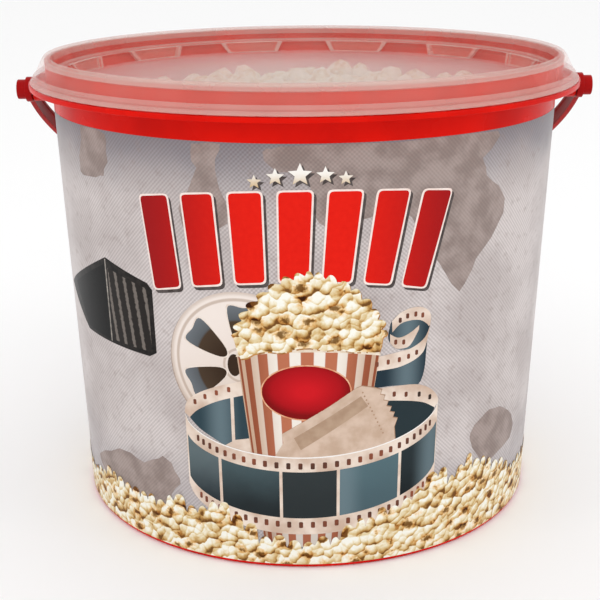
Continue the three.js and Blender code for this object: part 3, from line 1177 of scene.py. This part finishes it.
def carton_paint():
    shader, _, u, v = ink("carton_paint")
    half = v * 0.1182 + 15.66
    across = (u - v * 0.011) / half
    angle = shader.math("ARCSINE", shader.math("MAXIMUM", shader.math(
        "MINIMUM", across, 0.999), -0.999))
    wave = shader.math("COSINE", (angle + math.radians(1.2)) * (TURN / math.radians(19.6)))
    stripe = shader.step(wave, -0.25, 0.05)
    side = shader.step(abs(across), 0.35, 1.0)
    brown = shader.mix(side, tone(192, 116, 86), tone(150, 80, 54))
    cream = shader.mix(side, tone(246, 238, 228), tone(204, 170, 144))
    colour = shader.mix(stripe, cream, brown)
    foot = shader.step(v, 9.0, 60.0, 0.3, 0.0)
    return shader.wear(Base_Color=shader.mix(foot, colour, tone(92, 52, 36)))


def make_carton():
    rim = plain_ink("carton_rim", tone(228, 208, 184), tone(246, 232, 214))
    piece = Wrap("carton", carton_paint(), rim)
    top = flowing([(-25.6, 88.9), (-14, 90.9), (0, 91.7), (14, 91), (27.2, 88.9)], 4, False)
    low = flowing([(-16.9, 10.3), (-8, 9.5), (0, 9.3), (8, 9.5), (16.6, 10.3)], 4, False)
    piece.lay(top + low[::-1], 0, 4.9)
    piece.lay(top + [(u * 1.01, v - 1.3) for u, v in top[::-1]], 1, 5.4)
    return piece.done()


make_carton()

# %% [markdown]
# A heap of the printed popcorn stands over the carton's edge. Its outline is a superellipse, a
# shape between an ellipse and a diamond, set with rounded kernel tops, and closed by a wavy line
# along the carton's rim.

# %% Heap
HEAP_MIDDLE, HEAP_RIM = (1.4, 94.5), 91.4
HEAP_HALF_WIDTH, HEAP_RISE, HEAP_POWER = 27.6, 26.0, 1.2
HEAP_TOPS, HEAP_RIM_REACH, RIM_STEPS = 17, 25.5, 10
heap_edge = plain_ink("heap_edge", tone(150, 96, 40), tone(206, 150, 84))


def heap_outline(seed):
    rng = random.Random(seed)
    made = []
    for k in range(HEAP_TOPS):
        for share, swell in ((0.0, -0.035), (0.3, 0.02), (0.6, 0.045), (0.85, 0.02)):
            turn = math.pi * (k + share) / HEAP_TOPS
            out = 1 + swell + rng.uniform(-0.012, 0.012)
            across = math.copysign(abs(math.cos(turn)) ** HEAP_POWER, math.cos(turn))
            made.append((HEAP_MIDDLE[0] + HEAP_HALF_WIDTH * out * across,
                         HEAP_MIDDLE[1] + HEAP_RISE * out * math.sin(turn) ** HEAP_POWER))
    for k in range(RIM_STEPS + 1):
        side = 2 * k / RIM_STEPS - 1
        made.append((HEAP_MIDDLE[0] + HEAP_RIM_REACH * side,
                     HEAP_RIM + rng.uniform(-0.7, 0.7) - 2.6 * side ** 2
                     - 1.6 * max(0.0, 1 - k / 4)))
    return made


def make_heap():
    piece = Wrap("popcorn_heap", heap_edge, printed_corn)
    outline = flowing(heap_outline(9), 2)
    piece.lay([(u + 0.3, v - 0.5) for u, v in outline], 0, 5.4)
    piece.lay(outline, 1, 6)
    return piece.done()


make_heap()

# %% [markdown]
# ## Badge and ticket
# A plain red oval sits on the carton, and a blank admission ticket leans behind the film. The
# ticket has a scalloped end, a darker strip where nothing is written, and a tear line.

# %% Badge and ticket
BADGE, BADGE_SIZE = (-0.1, 74.2), (16.4, 10.7)


def badge_red():
    shader, _, u, v = ink("badge_red", 0.3)
    across, up = (u - BADGE[0]) / BADGE_SIZE[0], (v - BADGE[1]) / BADGE_SIZE[1]
    away = shader.length(across, up)
    return shader.wear(Base_Color=shader.ramp(
        away - up * 0.15, (0.2, tone(212, 24, 34)), (0.75, tone(176, 16, 26)),
        (0.98, tone(132, 12, 16))))


def make_badge():
    rim = plain_ink("badge_rim", tone(226, 150, 110), tone(246, 196, 160))
    piece = Wrap("badge", rim, badge_red())
    for grow, ink_number, layer in ((0.5, 0, 6.2), (0.0, 1, 6.8)):
        piece.lay(circle(*BADGE, *(size + grow for size in BADGE_SIZE)), ink_number, layer)
    return piece.done()


def scallops(start, end, count, depth):
    """A toothed line from start to end, of this many teeth that stand out by depth."""
    start, end = Vector(start), Vector(end)
    out = (end - start).normalized().orthogonal() * -depth
    return [tuple(start.lerp(end, k / (2 * count)) + out * (k % 2))
            for k in range(2 * count + 1)]


TICKET = [(-12.1, 48.1), (-8.8, 53.6), (-9.3, 57.4), (8.7, 68.7), (18.4, 75.4), (20.6, 76),
          (24, 75.2), *scallops((28.2, 73.8), (34.8, 61.2), 5, 1.4), (33.6, 57.6), (34.4, 50),
          (10, 44), (-12, 44)]
TEAR_START, TEAR_END, TEAR_DOTS = Vector((20.9, 73.4)), Vector((29.2, 56.0)), 12


def make_ticket():
    card = plain_ink("ticket_card", tone(202, 174, 152), tone(224, 199, 180), 0.15)
    strip = plain_ink("ticket_strip", tone(176, 146, 122), tone(192, 164, 140), 0.2)
    line = plain_ink("ticket_edge", tone(164, 128, 104), tone(190, 156, 130))
    piece = Wrap("ticket", line, card, strip)
    piece.lay([(u + 0.3, v + 0.3) for u, v in TICKET], 0, 7)
    piece.lay(TICKET, 1, 7.5)
    piece.lay([(-4.8, 55.8), (20.3, 72), (23.1, 67.7), (-2.2, 50.9)][::-1], 2, 8)
    for k in range(TEAR_DOTS):
        dot = TEAR_START.lerp(TEAR_END, k / (TEAR_DOTS - 1))
        piece.lay(circle(*dot, 0.35, count=8), 0, 8)
    return piece.done()


make_badge()
make_ticket()

# %% [markdown]
# ## The near side of the film
# The front of the loop crosses the carton: a pale band with a row of perforations above and
# below, and five blue-grey frames that hold nothing. A loop seen from above is an ellipse, so
# every line along the band is the near half of one, with its own level and sag, and the
# perforations are evenly spaced in the angle round it.

# %% Near side of the film
LOOP_MIDDLE, LOOP_HALF_WIDTH, LOOP_TILT = 2.2, 50.3, 0.033
BAND_TOP, FRAME_TOP, HOLES_TOP = (64.1, 16.2), (57.1, 15.5), (61.3, 17.2)
BAND_LOW, FRAME_LOW, HOLES_LOW = (35.1, 20.2), (39.8, 17.9), (37.4, 18.4)
FRAME_ENDS = [-47.4, -34.0, -10.0, 12.0, 36.5, 52.1]
HOLES_EACH_WAY, HOLE_TURN, HOLE_WIDTH = 13, 0.0926, 1.6
FRAME_GAP, BAND_INSET = 0.6, 0.1


def film_arc(line, left, right, step=1.25):
    """Points on the near half of an ellipse: its level at the ends and its sag between."""
    level, sag = line
    count = max(2, round((right - left) / step))
    made = []
    for k in range(count + 1):
        u = left + (right - left) * k / count
        out = (u - LOOP_MIDDLE) / LOOP_HALF_WIDTH
        made.append((u, level + LOOP_TILT * (u - LOOP_MIDDLE)
                     - sag * math.sqrt(max(0.0, 1 - out * out))))
    return made


def film_holes(line):
    """Centres and widths of perforations, evenly spaced round the loop."""
    made = []
    for k in range(1 - HOLES_EACH_WAY, HOLES_EACH_WAY + 1):
        u = LOOP_MIDDLE + LOOP_HALF_WIDTH * math.sin(k * HOLE_TURN)
        made.append((u, film_arc(line, u, u)[0][1], HOLE_WIDTH * math.cos(k * HOLE_TURN) ** 0.5))
    return made


def make_film_near():
    tones = [film_tone("frame_1", tone(38, 46, 52), tone(98, 112, 116)),
             film_tone("frame_2", tone(38, 45, 48), tone(76, 94, 99)),
             film_tone("frame_3", tone(46, 52, 54), tone(54, 61, 63)),
             film_tone("frame_4", tone(78, 100, 108), tone(88, 114, 122), glint_at=14.0),
             film_tone("frame_5", tone(26, 32, 35), tone(42, 52, 56), glint_at=50.0)]
    piece = Wrap("film_near_side", film_edge, film_bright, hole_ink, *tones)
    reach = LOOP_HALF_WIDTH - BAND_INSET
    ends = LOOP_MIDDLE - reach, LOOP_MIDDLE + reach
    top, low = film_arc(BAND_TOP, *ends), film_arc(BAND_LOW, *ends)
    piece.lay(top + low[::-1], 0, 8)
    for index, (left, right) in enumerate(zip(FRAME_ENDS, FRAME_ENDS[1:])):
        start = left + (FRAME_GAP if index else 0.0)
        end = right - (FRAME_GAP if index < len(tones) - 1 else 0.0)
        piece.lay(film_arc(FRAME_TOP, start, end) + film_arc(FRAME_LOW, start, end)[::-1],
                  3 + index, 8.7)
    for u, v, width in film_holes(HOLES_TOP) + film_holes(HOLES_LOW):
        holes(piece, [(u, v)], 2, 8.7, width)
    piece.lay(top + [(u, v - 0.5) for u, v in top[::-1]], 1, 8.7)
    return piece.done()


make_film_near()

# %% [markdown]
# ## Floor and light
# The floor is a wide pale sheet and the world is an even white, so that the shadow under the
# foot is soft. A large light in front and above shapes the wall, and two tall ones at the sides
# draw highlights on the lid and the flange.

# %% Stage


def make_floor():
    bm = bmesh.new()
    bmesh.ops.create_grid(bm, x_segments=4, y_segments=4, size=12.0)
    bmesh.ops.translate(bm, verts=bm.verts[:], vec=(0, 0, -0.0002))
    mesh = bpy.data.meshes.new("floor")
    bm.to_mesh(mesh)
    bm.free()
    pale = Shader("pale_floor", roughness=0.9)
    mesh.materials.append(pale.wear(Base_Color=(0.94, 0.94, 0.94, 1.0)))
    floor = add_object("floor", mesh)


def soft_light(name, place, target, size, power):
    data = bpy.data.lights.new(name, "AREA")
    data.shape, data.size, data.size_y, data.energy = "RECTANGLE", size[0], size[1], power
    light = add_object(name, data)
    light.location = place
    away = Vector(target) - Vector(place)
    light.rotation_euler = away.to_track_quat("-Z", "Y").to_euler()


def make_light():
    world = bpy.data.worlds.new("studio")
    world.use_nodes = True
    world.node_tree.nodes["Background"].inputs["Color"].default_value = (1, 1, 1, 1)
    world.node_tree.nodes["Background"].inputs["Strength"].default_value = 1.0
    bpy.context.scene.world = world
    soft_light("front_light", (0.1, -1.6, 1.3), (0, 0, 0.1), (1.2, 0.8), 4.5)
    soft_light("left_light", (-1.3, -0.7, 0.7), (0, 0, 0.12), (0.4, 1.2), 1.6)
    soft_light("right_light", (1.3, -0.7, 0.7), (0, 0, 0.12), (0.4, 1.2), 2.0)


make_floor()
make_light()
scene = bpy.context.scene
scene.view_settings.view_transform = "Standard"
scene.cycles.transparent_max_bounces = 24
